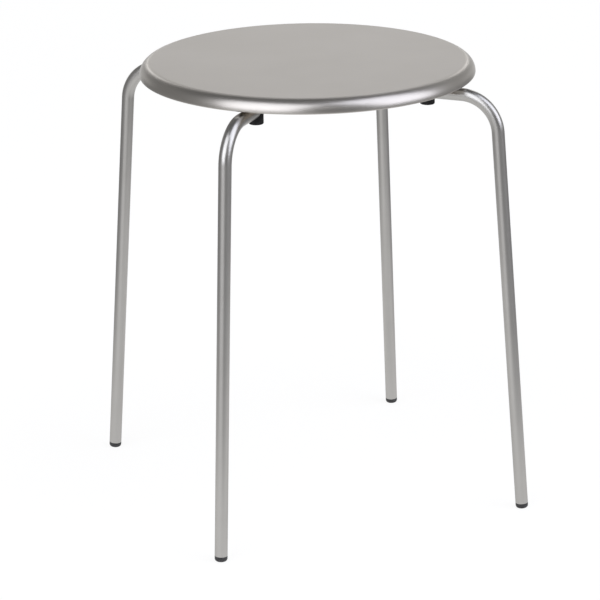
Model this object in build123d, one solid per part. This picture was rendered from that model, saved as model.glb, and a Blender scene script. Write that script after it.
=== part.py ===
from build123d import *
import math
import os

# Round stacking stool in stainless steel. Millimetres, +Z up, origin on the floor under the middle of the seat.
# A pressed seat pan is glued over a plywood core. Four equal legs, each one bent tube, are screwed to the
# underside of the core. Each leg is modelled pointing along +X and then turned to its corner.

# Overall sizes
seat_height = 450.0
seat_radius = 168.0
foot_circle_radius = 232.0
leg_lean_degrees = 4.4
first_leg_degrees = 45.0
corner_names = ["back_right", "back_left", "front_left", "front_right"]

# Seat pan: sheet, rounded edge and the lip that turns in below it
pan_sheet = 1.0
pan_edge_radius = 12.0
pan_lip_inner_bend = 0.4
pan_lip_width = 12.0

# Seat core: plywood disc inside the lip
core_thickness = 15.0
core_side_gap = 0.5
core_edge_chamfer = 1.0

# Leg tube
tube_diameter = 12.7
tube_wall = 1.5
tube_bend_radius = 38.0
tube_start_radius = 30.0
tube_end_rounding = 0.4

# Plugs in the tube's two ends: ribbed stems, a rounded foot and a thin inner cap
plug_rib_gap = 0.1
plug_rib_height = 0.7
plug_rib_length = 2.0
plug_rib_pitch = 5.0
foot_plug_ribs = 4
foot_head_height = 5.0
foot_head_rounding = 3.0
foot_floor_trim = 0.4
end_plug_ribs = 1
end_cap_thickness = 2.0
end_cap_rounding = 1.0

# Screws that clamp each leg to the core, the washers under their heads and the inserts that take them
screw_radii = [45.0, 80.0]
screw_diameter = 6.0
screw_head_diameter = 10.5
screw_head_height = 3.3
screw_head_rounding = 2.2
screw_socket_width = 4.0
screw_socket_depth = 2.0
screw_tip_gap = 0.9
screw_hole_gap = 0.3
saddle_diameter = 12.0
saddle_web = 1.2
saddle_wrap = 1.8
insert_diameter = 9.5
insert_flange_diameter = 12.0
insert_flange_thickness = 1.0
insert_cover = 3.0
insert_fit_gap = 0.1
insert_tip_room = 0.5
thread_gap = 0.1

# Stacking bumper: rubber saddle below the tube with a snap-in stem
bumper_position_radius = 128.0
bumper_diameter = 14.6
bumper_drop = 6.0
bumper_rounding = 1.2
bumper_lip_below_axis = 1.0
bumper_stem_diameter = 4.8
bumper_stem_gap = 0.2
bumper_barb_diameter = 6.4
bumper_barb_tip_diameter = 3.0
bumper_barb_height = 3.0
saddle_fit_gap = 0.1

# Places that follow from the sizes
tube_radius = tube_diameter / 2
tube_bore_radius = tube_radius - tube_wall
leg_lean = math.radians(leg_lean_degrees)
leg_up = Vector(-math.sin(leg_lean), 0, math.cos(leg_lean))
foot_point = Vector(foot_circle_radius, 0, 0)
pan_underside = seat_height - pan_sheet
core_underside = pan_underside - core_thickness
tube_axis_height = core_underside - tube_radius
tube_underside = tube_axis_height - tube_radius
insert_length = core_thickness - insert_cover
screw_head_seat = tube_underside - saddle_web
screw_tip_height = core_underside + insert_length - screw_tip_gap


def revolved(outline):
    """Solid of revolution about Z from edges drawn as (radius, height)."""
    return revolve(Plane.XZ * make_face(outline), Axis.Z)


def upright_cylinder(radius, bottom, top, distance=0.0):
    """Cylinder along Z between two heights, at a distance from the middle along +X."""
    return Pos(distance, 0, bottom) * extrude(Circle(radius), amount=top - bottom)


def tube_clearance_cylinder(radius, distance, length):
    """Level cylinder on the axis of the tube's top run, centred at a distance from the middle."""
    return Pos(distance, 0, tube_axis_height) * Rot(0, 90, 0) * Cylinder(radius, length)


def make_seat_pan():
    """Flat pressed disc with a quarter-round edge and a narrow lip turned in below it."""
    lip_outer_bend = pan_lip_inner_bend + pan_sheet
    flat_radius = seat_radius - pan_edge_radius
    widest_height = seat_height - pan_edge_radius
    rim_bottom = widest_height - lip_outer_bend
    lip_start = seat_radius - lip_outer_bend
    lip_edge = seat_radius - pan_lip_width
    edge_centre = (flat_radius, widest_height)
    lip_centre = (lip_start, widest_height)
    outline = [
        Line((0, seat_height), (flat_radius, seat_height)),
        CenterArc(edge_centre, pan_edge_radius, 90, -90),
        CenterArc(lip_centre, lip_outer_bend, 0, -90),
        Polyline(
            (lip_start, rim_bottom),
            (lip_edge, rim_bottom),
            (lip_edge, rim_bottom + pan_sheet),
            (lip_start, rim_bottom + pan_sheet),
        ),
        CenterArc(lip_centre, pan_lip_inner_bend, -90, 90),
        CenterArc(edge_centre, pan_edge_radius - pan_sheet, 0, 90),
        Polyline((flat_radius, pan_underside), (0, pan_underside), (0, seat_height)),
    ]
    return revolved(outline)


def make_seat_core():
    """Plywood disc on the flat of the pan, with a stepped blind hole for every threaded insert."""
    core_radius = seat_radius - max(pan_lip_width, pan_edge_radius) - core_side_gap
    disc = upright_cylinder(core_radius, core_underside, pan_underside)
    disc = chamfer(disc.edges().group_by(Axis.Z)[0], core_edge_chamfer)
    hole_top = core_underside + insert_length + insert_tip_room
    for corner in range(len(corner_names)):
        for distance in screw_radii:
            hole = upright_cylinder(insert_diameter / 2 + insert_fit_gap, core_underside, hole_top, distance)
            flange_radius = insert_flange_diameter / 2 + insert_fit_gap
            flange_top = core_underside + insert_flange_thickness + insert_fit_gap
            recess = upright_cylinder(flange_radius, core_underside, flange_top, distance)
            disc -= turned_to_corner(hole + recess, corner)
    return disc


def make_leg():
    """Bent tube: level run under the core, one bend and a straight run that leans outwards to the foot."""
    corner_point = foot_point + leg_up * (tube_axis_height / math.cos(leg_lean))
    tube_end = foot_point + leg_up * foot_head_height
    path = Plane.XZ * FilletPolyline(
        (tube_start_radius, tube_axis_height),
        (corner_point.X, tube_axis_height),
        (tube_end.X, tube_end.Z),
        radius=tube_bend_radius,
    )
    section = Plane(origin=path @ 0, z_dir=path % 0) * (Circle(tube_radius) - Circle(tube_bore_radius))
    tube = sweep(section, path=path)
    rims = tube.edges().filter_by(GeomType.CIRCLE).filter_by(lambda e: is_outer_end(e, (path @ 0, path @ 1)))
    tube = fillet(rims, tube_end_rounding)
    for distance in screw_radii:
        hole_radius = screw_diameter / 2 + screw_hole_gap
        tube -= upright_cylinder(hole_radius, tube_underside - tube_wall, core_underside + tube_wall, distance)
    stem_hole_radius = bumper_stem_diameter / 2 + bumper_stem_gap
    tube -= upright_cylinder(stem_hole_radius, tube_underside - tube_wall, tube_axis_height, bumper_position_radius)
    return tube


def is_outer_end(edge, end_points):
    """True for the outer circle of the tube's wall at either end."""
    full_size = abs(edge.radius - tube_radius) < tube_wall / 2
    return full_size and min((edge.arc_center - point).length for point in end_points) < tube_wall


def ribbed_stem(rib_count):
    """Outline of a plug's stem, from its tip down to the tube's end at height 0, as (radius, height) points."""
    rib_radius = tube_bore_radius - plug_rib_gap
    stem_radius = rib_radius - plug_rib_height
    stem_length = rib_count * plug_rib_pitch + plug_rib_length
    points = [(0, stem_length), (stem_radius, stem_length)]
    for rib in range(rib_count, 0, -1):
        rib_top = rib * plug_rib_pitch
        points += [(stem_radius, rib_top), (rib_radius, rib_top - plug_rib_height)]
        points += [(rib_radius, rib_top - plug_rib_length), (stem_radius, rib_top - plug_rib_length)]
    return points + [(stem_radius, 0)]


def make_plug(rib_count, head_height, rounding):
    """Plug with its axis on Z: ribbed stem above height 0 and a round-edged head as wide as the tube below it."""
    points = ribbed_stem(rib_count) + [(tube_radius, 0), (tube_radius, rounding - head_height)]
    outline = [
        Polyline(*points),
        CenterArc((tube_radius - rounding, rounding - head_height), rounding, 0, -90),
        Polyline((tube_radius - rounding, -head_height), (0, -head_height), points[0]),
    ]
    return revolved(outline)


def make_foot_plug():
    """Plug in the leg's lower end, its head trimmed level with the floor."""
    plug = make_plug(foot_plug_ribs, foot_head_height + foot_floor_trim, foot_head_rounding)
    placed = Plane(origin=foot_point + leg_up * foot_head_height, x_dir=(0, 1, 0), z_dir=leg_up) * plug
    below_floor = Pos(foot_circle_radius, 0, 0) * Box(
        tube_diameter * 2, tube_diameter * 2, tube_diameter, align=(Align.CENTER, Align.CENTER, Align.MAX)
    )
    return placed - below_floor


def make_tube_end_plug():
    """Plug in the tube's inner end, with a thin cap that faces the middle of the stool."""
    plug = make_plug(end_plug_ribs, end_cap_thickness, end_cap_rounding)
    return Plane(origin=(tube_start_radius, 0, tube_axis_height), x_dir=(0, 1, 0), z_dir=(1, 0, 0)) * plug


def make_leg_screws():
    """Button-head screws, heads down, up through the tube into the inserts."""
    screws = []
    for distance in screw_radii:
        head_bottom = screw_head_seat - screw_head_height
        head = upright_cylinder(screw_head_diameter / 2, head_bottom, screw_head_seat, distance)
        head = fillet(head.edges().group_by(Axis.Z)[0], screw_head_rounding)
        socket = extrude(RegularPolygon(screw_socket_width / 2, 6, major_radius=False), amount=screw_socket_depth)
        head -= Pos(distance, 0, head_bottom) * socket
        screws.append(head + upright_cylinder(screw_diameter / 2, screw_head_seat, screw_tip_height, distance))
    return screws


def make_saddle_washers():
    """Washers with a flat seat for the screw head and a hollow top that cups the tube."""
    washers = []
    for distance in screw_radii:
        washer = upright_cylinder(saddle_diameter / 2, screw_head_seat, tube_underside + saddle_wrap, distance)
        washer -= tube_clearance_cylinder(tube_radius + saddle_fit_gap, distance, saddle_diameter * 2)
        washer -= upright_cylinder(screw_diameter / 2 + screw_hole_gap, screw_head_seat, core_underside, distance)
        washers.append(washer)
    return washers


def make_threaded_inserts():
    """Flanged sleeves set flush in the core's underside."""
    inserts = []
    for distance in screw_radii:
        sleeve = upright_cylinder(insert_diameter / 2, core_underside, core_underside + insert_length, distance)
        flange_top = core_underside + insert_flange_thickness
        sleeve += upright_cylinder(insert_flange_diameter / 2, core_underside, flange_top, distance)
        bore_radius = screw_diameter / 2 + thread_gap
        sleeve -= upright_cylinder(bore_radius, core_underside, core_underside + insert_length, distance)
        inserts.append(sleeve)
    return inserts


def make_stacking_bumper():
    """Rubber cylinder that cups the tube from below, held by a barbed stem through the tube's lower wall."""
    bottom = tube_underside - bumper_drop
    top = tube_axis_height - bumper_lip_below_axis
    body = upright_cylinder(bumper_diameter / 2, bottom, top, bumper_position_radius)
    body = fillet(body.edges().group_by(Axis.Z)[0], bumper_rounding)
    body -= tube_clearance_cylinder(tube_radius + saddle_fit_gap, bumper_position_radius, bumper_diameter * 2)
    barb_sink = math.sqrt(tube_bore_radius**2 - (bumper_barb_diameter / 2) ** 2)
    barb_bottom = tube_axis_height - barb_sink + bumper_stem_gap
    stem_bottom = tube_underside - bumper_drop / 2
    stem = upright_cylinder(bumper_stem_diameter / 2, stem_bottom, barb_bottom, bumper_position_radius)
    barb = Pos(bumper_position_radius, 0, barb_bottom) * Cone(
        bumper_barb_diameter / 2,
        bumper_barb_tip_diameter / 2,
        bumper_barb_height,
        align=(Align.CENTER, Align.CENTER, Align.MIN),
    )
    return body + stem + barb


def turned_to_corner(shape, corner):
    """The shape turned about Z from +X to the numbered corner of the stool."""
    return Rot(0, 0, first_leg_degrees + corner * 360.0 / len(corner_names)) * shape


def save(name, solids):
    """Writes one node: a single solid, or a group of separate ones."""
    node = Compound(children=solids) if isinstance(solids, list) else solids
    export_step(node, os.path.join("parts", name + ".step"))


def main():
    """Builds every piece once and writes the repeated ones at each corner."""
    os.makedirs("parts", exist_ok=True)
    save("seat_pan", make_seat_pan())
    save("seat_core", make_seat_core())
    pieces = {
        "leg": [make_leg()],
        "foot_plug": [make_foot_plug()],
        "tube_end_plug": [make_tube_end_plug()],
        "stacking_bumper": [make_stacking_bumper()],
        "leg_screws": make_leg_screws(),
        "saddle_washers": make_saddle_washers(),
        "threaded_inserts": make_threaded_inserts(),
    }
    for corner, corner_name in enumerate(corner_names):
        for piece_name, solids in pieces.items():
            save(piece_name + "_" + corner_name, [turned_to_corner(solid, corner) for solid in solids])


main()
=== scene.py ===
"""Looks of a round stacking stool in satin stainless steel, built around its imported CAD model.

Lengths are metres in the CAD frame: +Z is up, and the origin is on the floor under the middle of the seat.
The seat pan, the bent legs and the small black and steel pieces are new meshes that stand for their CAD
nodes. The plywood core and the threaded inserts stay as CAD nodes and get finishes of their own.
"""

from __future__ import annotations

import logging
import math
from abc import ABC, abstractmethod
from dataclasses import dataclass
from enum import Enum
from typing import Dict, List, NamedTuple, Optional, Sequence, Tuple, Union

import bmesh
import bpy
from mathutils import Matrix, Vector


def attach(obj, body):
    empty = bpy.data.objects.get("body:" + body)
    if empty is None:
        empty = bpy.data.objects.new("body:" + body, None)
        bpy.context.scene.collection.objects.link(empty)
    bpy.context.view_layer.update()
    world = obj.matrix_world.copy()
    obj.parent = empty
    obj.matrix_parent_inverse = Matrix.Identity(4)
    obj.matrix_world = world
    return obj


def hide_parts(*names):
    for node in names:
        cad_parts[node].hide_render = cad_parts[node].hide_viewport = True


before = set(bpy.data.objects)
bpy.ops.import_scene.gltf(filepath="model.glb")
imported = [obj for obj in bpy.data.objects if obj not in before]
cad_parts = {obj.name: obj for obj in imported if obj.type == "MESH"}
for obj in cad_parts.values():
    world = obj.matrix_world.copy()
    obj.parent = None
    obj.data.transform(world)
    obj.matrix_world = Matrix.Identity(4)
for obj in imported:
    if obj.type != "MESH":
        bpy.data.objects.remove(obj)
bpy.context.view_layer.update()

LOG = logging.getLogger("stool")
MM = 0.001
BODY = "root"
STRAIGHT_PLACE = "straight_place"
ROUNDING = "rounding"
SEAM_WELD = 0.002 * MM
MESH_WELD = 0.001 * MM
SHORTEST_EDGE = 0.0005 * MM
CRISP_FROM_DEGREES = 34.0
CUP_SEGMENTS = 144
SIDE_FADE_DEGREES = 12.0
SIDE_TOP_FADE = 0.12
# Nearly all values of a noise pattern lie in this range, and those of a finely layered one in the next.
NOISE_LOW = 0.3
NOISE_HIGH = 0.7
GRAIN_LOW = 0.25
GRAIN_HIGH = 0.75
# The upward part of a surface's direction where it counts as bent away, and where it counts as level.
BENT_AWAY = 0.94
LEVEL = 0.998

Colour = Tuple[float, float, float]
Wire = Union[bpy.types.NodeSocket, bpy.types.Material, float, int, bool, str, Sequence[float]]
Inputs = Dict[Union[str, int], Wire]


class Corner(Enum):
    """The stool's corners, each with its direction about Z in degrees."""

    BACK_RIGHT = 45.0
    BACK_LEFT = 135.0
    FRONT_LEFT = 225.0
    FRONT_RIGHT = 315.0

    @property
    def label(self) -> str:
        """The corner's name, as the CAD nodes have it."""
        return self.name.lower()

    @property
    def turn(self) -> Matrix:
        """The turn about Z that takes +X to this corner."""
        return Matrix.Rotation(math.radians(self.value), 4, "Z")


class Slot(Enum):
    """Names of the record's material slots, which the corner pieces carry but nothing here reads."""

    SEAT_STEEL = "seat_stainless"
    TUBE_STEEL = "tube_stainless"
    PLASTIC = "black_plastic"
    RUBBER = "black_rubber"
    SCREW = "screw_steel"


class Combine(Enum):
    """How one solid is worked into another."""

    CUT = "DIFFERENCE"
    FUSE = "UNION"


class Polish(Enum):
    """How a steel piece is polished, which its grain and any stretched highlights follow."""

    AROUND_SEAT = "round the seat's edge"
    AROUND_TUBE = "round the tube"
    STRAIGHT = "straight across"


class OutlinePoint(NamedTuple):
    """A corner of a turned piece's outline: its radius and height, and how far it is rounded off."""

    radius: float
    height: float
    rounding: float = 0.0


class Cover(NamedTuple):
    """How a pattern brings out a colour: from which value on, where it is full, and its most."""

    start: float = NOISE_LOW
    full: float = NOISE_HIGH
    most: float = 1.0


class Side(NamedTuple):
    """A stretch of the surroundings with a level of its own, by the direction of its middle about Z.

    Its top is the rise of its upper edge for each metre of distance along the line of sight.
    """

    azimuth_degrees: float
    half_width_degrees: float
    level: float
    top: float = 1.0


class NodeGraph:
    """Adds nodes to a node tree and joins their sockets."""

    def __init__(self, tree: bpy.types.NodeTree) -> None:
        """Keeps the tree that the nodes go into."""
        self.tree = tree

    def add(self, kind: str, inputs: Optional[Inputs] = None,
            **options: Union[str, float, bool]) -> bpy.types.Node:
        """Adds one node.

        Args:
            kind: Blender's name for the type of node.
            inputs: What goes into its sockets, by name or number: another socket or a plain value.
            options: The node's own settings.

        Returns:
            The new node.
        """
        node = self.tree.nodes.new(kind)
        for option, value in options.items():
            setattr(node, option, value)
        for place, wire in (inputs or {}).items():
            if isinstance(wire, bpy.types.NodeSocket):
                self.tree.links.new(wire, node.inputs[place])
            else:
                node.inputs[place].default_value = wire
        return node

    def math(self, operation: str, first: Wire, second: Wire = 0.0) -> bpy.types.NodeSocket:
        """Adds a sum on one or two numbers.

        Args:
            operation: Blender's name for the sum.
            first: The first number.
            second: The second number, where the sum has one.

        Returns:
            The socket that gives the result.
        """
        return self.add("ShaderNodeMath", {0: first, 1: second}, operation=operation).outputs[0]

    def across(self, operation: str, first: Wire, second: Wire) -> bpy.types.NodeSocket:
        """Adds a sum on two vectors.

        Args:
            operation: Blender's name for the sum.
            first: The first vector.
            second: The second vector.

        Returns:
            The socket that gives the resulting vector.
        """
        return self.add("ShaderNodeVectorMath", {0: first, 1: second}, operation=operation).outputs[0]

    def scaled(self, vector: Wire, factor: Wire) -> bpy.types.NodeSocket:
        """Multiplies a vector by a number.

        Args:
            vector: The vector.
            factor: The number.

        Returns:
            The socket that gives the scaled vector.
        """
        node = self.add("ShaderNodeVectorMath", {0: vector, "Scale": factor}, operation="SCALE")
        return node.outputs[0]

    def point(self, x: Wire, y: Wire, z: Wire) -> bpy.types.NodeSocket:
        """Joins three numbers into a vector.

        Args:
            x: The first number.
            y: The second number.
            z: The third number.

        Returns:
            The socket that gives the vector.
        """
        return self.add("ShaderNodeCombineXYZ", {0: x, 1: y, 2: z}).outputs[0]

    def parts(self, vector: Wire) -> bpy.types.NodeOutputs:
        """Splits a vector into its three numbers."""
        return self.add("ShaderNodeSeparateXYZ", {0: vector}).outputs

    def spread(self, value: Wire, low: float, high: float, to_low: float,
               to_high: float) -> bpy.types.NodeSocket:
        """Stretches a range of values smoothly to another range.

        Args:
            value: The value to stretch.
            low: The start of its range.
            high: The end of its range.
            to_low: What the start becomes.
            to_high: What the end becomes.

        Returns:
            The socket that gives the stretched value.
        """
        inputs: Inputs = {0: value, 1: low, 2: high, 3: to_low, 4: to_high}
        return self.add("ShaderNodeMapRange", inputs, interpolation_type="SMOOTHSTEP").outputs[0]

    def shown(self, pattern: Wire, cover: Cover) -> bpy.types.NodeSocket:
        """Turns a pattern into the share of a colour that shows.

        Args:
            pattern: The pattern.
            cover: How it brings out the colour.

        Returns:
            The socket that gives the share.
        """
        return self.spread(pattern, cover.start, cover.full, 0.0, cover.most)

    def blend(self, factor: Wire, first: Wire, second: Wire) -> bpy.types.NodeSocket:
        """Mixes two colours.

        Args:
            factor: The share of the second colour.
            first: The first colour.
            second: The second colour.

        Returns:
            The socket that gives the mixed colour.
        """
        inputs: Inputs = {0: factor, 6: first, 7: second}
        return self.add("ShaderNodeMix", inputs, data_type="RGBA").outputs[2]

    def sides(self, way: Wire, level: float, sides: Sequence[Side]) -> Wire:
        """Gives a level that differs on some sides.

        Args:
            way: The direction that is looked in.
            level: The level wherever no side has its own.
            sides: Those sides. Each fades out about its half width.

        Returns:
            The level for that direction.
        """
        flat = self.across("NORMALIZE", self.across("MULTIPLY", way, (1.0, 1.0, 0.0)), (0.0, 0.0, 0.0))
        rise = self.parts(way)[2]
        found: Wire = level
        for side in sides:
            middle = Matrix.Rotation(math.radians(side.azimuth_degrees), 3, "Z") @ Vector((1.0, 0.0, 0.0))
            inputs: Inputs = {0: flat, 1: middle}
            facing = self.add("ShaderNodeVectorMath", inputs, operation="DOT_PRODUCT").outputs["Value"]
            start = math.cos(math.radians(side.half_width_degrees + SIDE_FADE_DEGREES))
            full = math.cos(math.radians(side.half_width_degrees - SIDE_FADE_DEGREES))
            share = self.spread(facing, start, full, 0.0, 1.0)
            low = self.spread(rise, side.top - SIDE_TOP_FADE, side.top + SIDE_TOP_FADE, 1.0, 0.0)
            found = self.level(self.math("MULTIPLY", share, low), found, side.level)
        return found

    def level(self, factor: Wire, first: Wire, second: Wire) -> bpy.types.NodeSocket:
        """Mixes two numbers.

        Args:
            factor: The share of the second number.
            first: The first number.
            second: The second number.

        Returns:
            The socket that gives the mixed number.
        """
        return self.add("ShaderNodeMix", {0: factor, 2: first, 3: second}).outputs[0]

    def stretched(self, place: Wire, fineness: Tuple[float, float, float]) -> bpy.types.NodeSocket:
        """Stretches a place along each axis, so that a noise pattern read there becomes a grain.

        Args:
            place: The place to stretch.
            fineness: How many spots to the metre the pattern gets along each axis.

        Returns:
            The socket that gives the stretched place.
        """
        return self.add("ShaderNodeMapping", {"Vector": place, "Scale": fineness}).outputs[0]

    def noise(self, place: Wire, scale: float, detail: float = 3.0,
              rough: float = 0.55) -> bpy.types.NodeSocket:
        """Adds a noise pattern.

        Args:
            place: Where the pattern is read.
            scale: How fine it is, in spots to the metre.
            detail: How many finer layers it has.
            rough: How strong those layers are.

        Returns:
            The socket that gives the pattern, from 0 to 1.
        """
        inputs: Inputs = {"Vector": place, "Scale": scale, "Detail": detail, "Roughness": rough}
        return self.add("ShaderNodeTexNoise", inputs).outputs[0]

    def bump(self, height: Wire, distance: float) -> bpy.types.NodeSocket:
        """Turns a pattern into fine relief.

        Args:
            height: The pattern.
            distance: How deep the relief is, in metres.

        Returns:
            The socket that gives the surface's direction.
        """
        inputs: Inputs = {"Strength": 1.0, "Distance": distance, "Height": height}
        return self.add("ShaderNodeBump", inputs).outputs[0]


def shaded(colour: Colour) -> Tuple[float, float, float, float]:
    """A colour with full cover, as Blender's colour sockets take it."""
    return (colour[0], colour[1], colour[2], 1.0)


@dataclass(frozen=True)
class Finish(ABC):
    """A surface finish that makes one material."""

    name: str

    def material(self) -> bpy.types.Material:
        """Makes the finish's material, or finds it where it is already made.

        Returns:
            The material.
        """
        made = bpy.data.materials.get(self.name)
        if made is None:
            made = bpy.data.materials.new(self.name)
            made.use_nodes = True
            made.node_tree.nodes.clear()
            graph = NodeGraph(made.node_tree)
            graph.add("ShaderNodeOutputMaterial", {"Surface": self.surface(graph)})
        return made

    @abstractmethod
    def surface(self, graph: NodeGraph) -> bpy.types.NodeSocket:
        """Lays out the finish's nodes.

        Args:
            graph: Where the nodes go.

        Returns:
            The socket that gives the finished surface.
        """


@dataclass(frozen=True)
class SatinSteel(Finish):
    """Stainless steel with a fine grain and faint clouding. Its highlights may stretch across the grain.

    The grain's fineness is in lines to the metre along each axis of what it follows. A level roughness,
    where the finish has one, holds where the surface lies level and gives way as the surface bends.
    """

    pale: Colour
    deep: Colour
    edge_tint: Colour
    smooth: float
    rough: float
    grain: Tuple[float, float, float]
    grain_depth: float
    clouding: float
    stretch: float = 0.0
    polish: Polish = Polish.STRAIGHT
    level_rough: Optional[float] = None

    def surface(self, graph: NodeGraph) -> bpy.types.NodeSocket:
        """Lays out grain, clouding and the metal itself.

        Args:
            graph: Where the nodes go.

        Returns:
            The socket that gives the finished surface.
        """
        if self.polish is Polish.AROUND_TUBE:
            place = graph.add("ShaderNodeAttribute", attribute_name=STRAIGHT_PLACE).outputs["Vector"]
        else:
            place = graph.add("ShaderNodeTexCoord").outputs["Object"]
        lines = graph.noise(graph.stretched(place, self.grain), 1.0, 4.0, 0.6)
        clouds = graph.noise(place, self.clouding, 2.0)
        colour = graph.blend(graph.shown(clouds, Cover()), shaded(self.pale), shaded(self.deep))
        blur = graph.spread(lines, GRAIN_LOW, GRAIN_HIGH, self.smooth, self.rough)
        if self.level_rough is not None:
            upward = graph.parts(graph.add("ShaderNodeTexCoord").outputs["Normal"])[2]
            blur = graph.level(graph.spread(upward, BENT_AWAY, LEVEL, 0.0, 1.0), blur, self.level_rough)
        metal = graph.add("ShaderNodeBsdfPrincipled", {
            "Base Color": colour,
            "Metallic": 1.0,
            "Roughness": blur,
            "Specular Tint": shaded(self.edge_tint),
            "Anisotropic": self.stretch,
            "Normal": graph.bump(lines, self.grain_depth),
        })
        if self.polish is Polish.AROUND_SEAT:
            graph.tree.links.new(self.stretch_direction(graph), metal.inputs["Tangent"])
        return metal.outputs[0]

    def stretch_direction(self, graph: NodeGraph) -> bpy.types.NodeSocket:
        """Lays out the direction in which the seat edge's highlights stretch, across its grain.

        Args:
            graph: Where the nodes go.

        Returns:
            The socket that gives the direction.
        """
        source = graph.add("ShaderNodeTexCoord").outputs
        around = graph.across("CROSS_PRODUCT", (0.0, 0.0, 1.0), source["Object"])
        return graph.across("CROSS_PRODUCT", around, source["Normal"])


@dataclass(frozen=True)
class MouldedBlack(Finish):
    """Black plastic or rubber with a fine moulded texture and paler rubbed spots.

    The texture is in pits to the metre. The spots' size is how many times larger than the pits they are.
    """

    dark: Colour
    worn: Colour
    smooth: float
    rough: float
    texture: float
    texture_depth: float
    gloss: float
    spot_size: float = 9.0
    spot_cover: Cover = Cover(0.45, 0.75)

    def surface(self, graph: NodeGraph) -> bpy.types.NodeSocket:
        """Lays out the moulded texture and the rubbed spots.

        Args:
            graph: Where the nodes go.

        Returns:
            The socket that gives the finished surface.
        """
        place = graph.add("ShaderNodeTexCoord").outputs["Object"]
        pits = graph.noise(place, self.texture, 2.0)
        rubbed = graph.noise(place, self.texture / self.spot_size, 3.0)
        wear = graph.shown(rubbed, self.spot_cover)
        skin = graph.add("ShaderNodeBsdfPrincipled", {
            "Base Color": graph.blend(wear, shaded(self.dark), shaded(self.worn)),
            "Roughness": graph.spread(rubbed, NOISE_LOW, NOISE_HIGH, self.smooth, self.rough),
            "Specular IOR Level": self.gloss,
            "Normal": graph.bump(pits, self.texture_depth),
        })
        return skin.outputs[0]


@dataclass(frozen=True)
class BirchPly(Finish):
    """Grey-stained birch plywood: long grain on the flats, and thin layers in turn on the edge.

    The figure and the pores are in spots to the metre along each axis, the end spots in all ways alike.
    """

    pale: Colour
    deep: Colour
    end_grain: Colour
    glue: Colour
    lowest: float
    layer: float
    glue_share: float = 0.09
    figure: Tuple[float, float, float] = (6.0, 70.0, 70.0)
    pores: Tuple[float, float, float] = (60.0, 1500.0, 1500.0)
    pore_cover: Cover = Cover(0.58, 0.8, 0.5)
    pore_depth: float = 0.00006
    end_spots: float = 2600.0
    end_cover: Cover = Cover(0.4, 0.7, 0.4)
    smooth: float = 0.5
    rough: float = 0.66

    def surface(self, graph: NodeGraph) -> bpy.types.NodeSocket:
        """Lays out the face grain, the edge's layers and the choice between them.

        Args:
            graph: Where the nodes go.

        Returns:
            The socket that gives the finished surface.
        """
        source = graph.add("ShaderNodeTexCoord").outputs
        place = source["Object"]
        figure = graph.noise(graph.stretched(place, self.figure), 1.0, 4.0, 0.6)
        pores = graph.noise(graph.stretched(place, self.pores), 1.0, 3.0)
        face = graph.blend(graph.shown(figure, Cover()), shaded(self.pale), shaded(self.deep))
        face = graph.blend(graph.shown(pores, self.pore_cover), face, shaded(self.end_grain))
        level = graph.math("DIVIDE", graph.math("SUBTRACT", graph.parts(place)[2], self.lowest), self.layer)
        along = graph.math("FRACT", level)
        turn = graph.math("GREATER_THAN", graph.math("MODULO", level, 2.0), 1.0)
        end_spots = graph.noise(place, self.end_spots, 2.0)
        edge = graph.blend(turn, shaded(self.pale), shaded(self.end_grain))
        edge = graph.blend(graph.shown(end_spots, self.end_cover), edge, shaded(self.deep))
        line = graph.math("LESS_THAN", along, self.glue_share)
        edge = graph.blend(line, edge, shaded(self.glue))
        upright = graph.math("ABSOLUTE", graph.parts(source["Normal"])[2])
        wood = graph.add("ShaderNodeBsdfPrincipled", {
            "Base Color": graph.blend(graph.math("GREATER_THAN", upright, 0.5), edge, face),
            "Roughness": graph.spread(pores, NOISE_LOW, NOISE_HIGH, self.smooth, self.rough),
            "Normal": graph.bump(pores, self.pore_depth),
        })
        return wood.outputs[0]


@dataclass(frozen=True)
class PlainStage(Finish):
    """White studio floor that the camera sees as white, with the object's faint shadow.

    The metal sees painted light in the floor's glow: a pale patch with painted shade under the stool,
    fading to grey further out except on some painted lit sides.
    """

    albedo: Colour
    shadow_share: float
    shade_level: float
    shade_radius: float
    near_level: float
    far_level: float
    fade_radius: float
    lit_sides: Tuple[Side, ...]

    def surface(self, graph: NodeGraph) -> bpy.types.NodeSocket:
        """Lays out the white glow, the shadow's share and the clear underside.

        Args:
            graph: Where the nodes go.

        Returns:
            The socket that gives the finished surface.
        """
        matt = graph.add("ShaderNodeBsdfDiffuse", {"Color": shaded(self.albedo)}).outputs[0]
        place = graph.add("ShaderNodeTexCoord").outputs["Object"]
        reach = graph.add("ShaderNodeVectorMath", {0: place}, operation="LENGTH").outputs["Value"]
        # Painted light and shade in the glow that the metal sees: painted shade under the stool, a paler
        # patch round it, and painted lit sides further out.
        far = graph.sides(place, self.far_level, self.lit_sides)
        near = graph.spread(reach, 0.0, self.shade_radius, self.shade_level, self.near_level)
        painted_light_level = graph.level(graph.spread(reach, 0.0, self.fade_radius, 0.0, 1.0), near, far)
        path = graph.add("ShaderNodeLightPath").outputs
        level = graph.level(path["Is Camera Ray"], painted_light_level, 1.0)
        glow = graph.add("ShaderNodeEmission", {"Strength": level}).outputs[0]
        seen = graph.math("MAXIMUM", path["Is Glossy Ray"], path["Is Transmission Ray"])
        seen = graph.math("MAXIMUM", path["Is Camera Ray"], seen)
        share = graph.math("MULTIPLY", seen, 1.0 - self.shadow_share)
        top = graph.add("ShaderNodeMixShader", {0: share, 1: matt, 2: glow}).outputs[0]
        clear = graph.add("ShaderNodeBsdfTransparent").outputs[0]
        below = graph.add("ShaderNodeNewGeometry").outputs["Backfacing"]
        return graph.add("ShaderNodeMixShader", {0: below, 1: top, 2: clear}).outputs[0]


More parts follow.
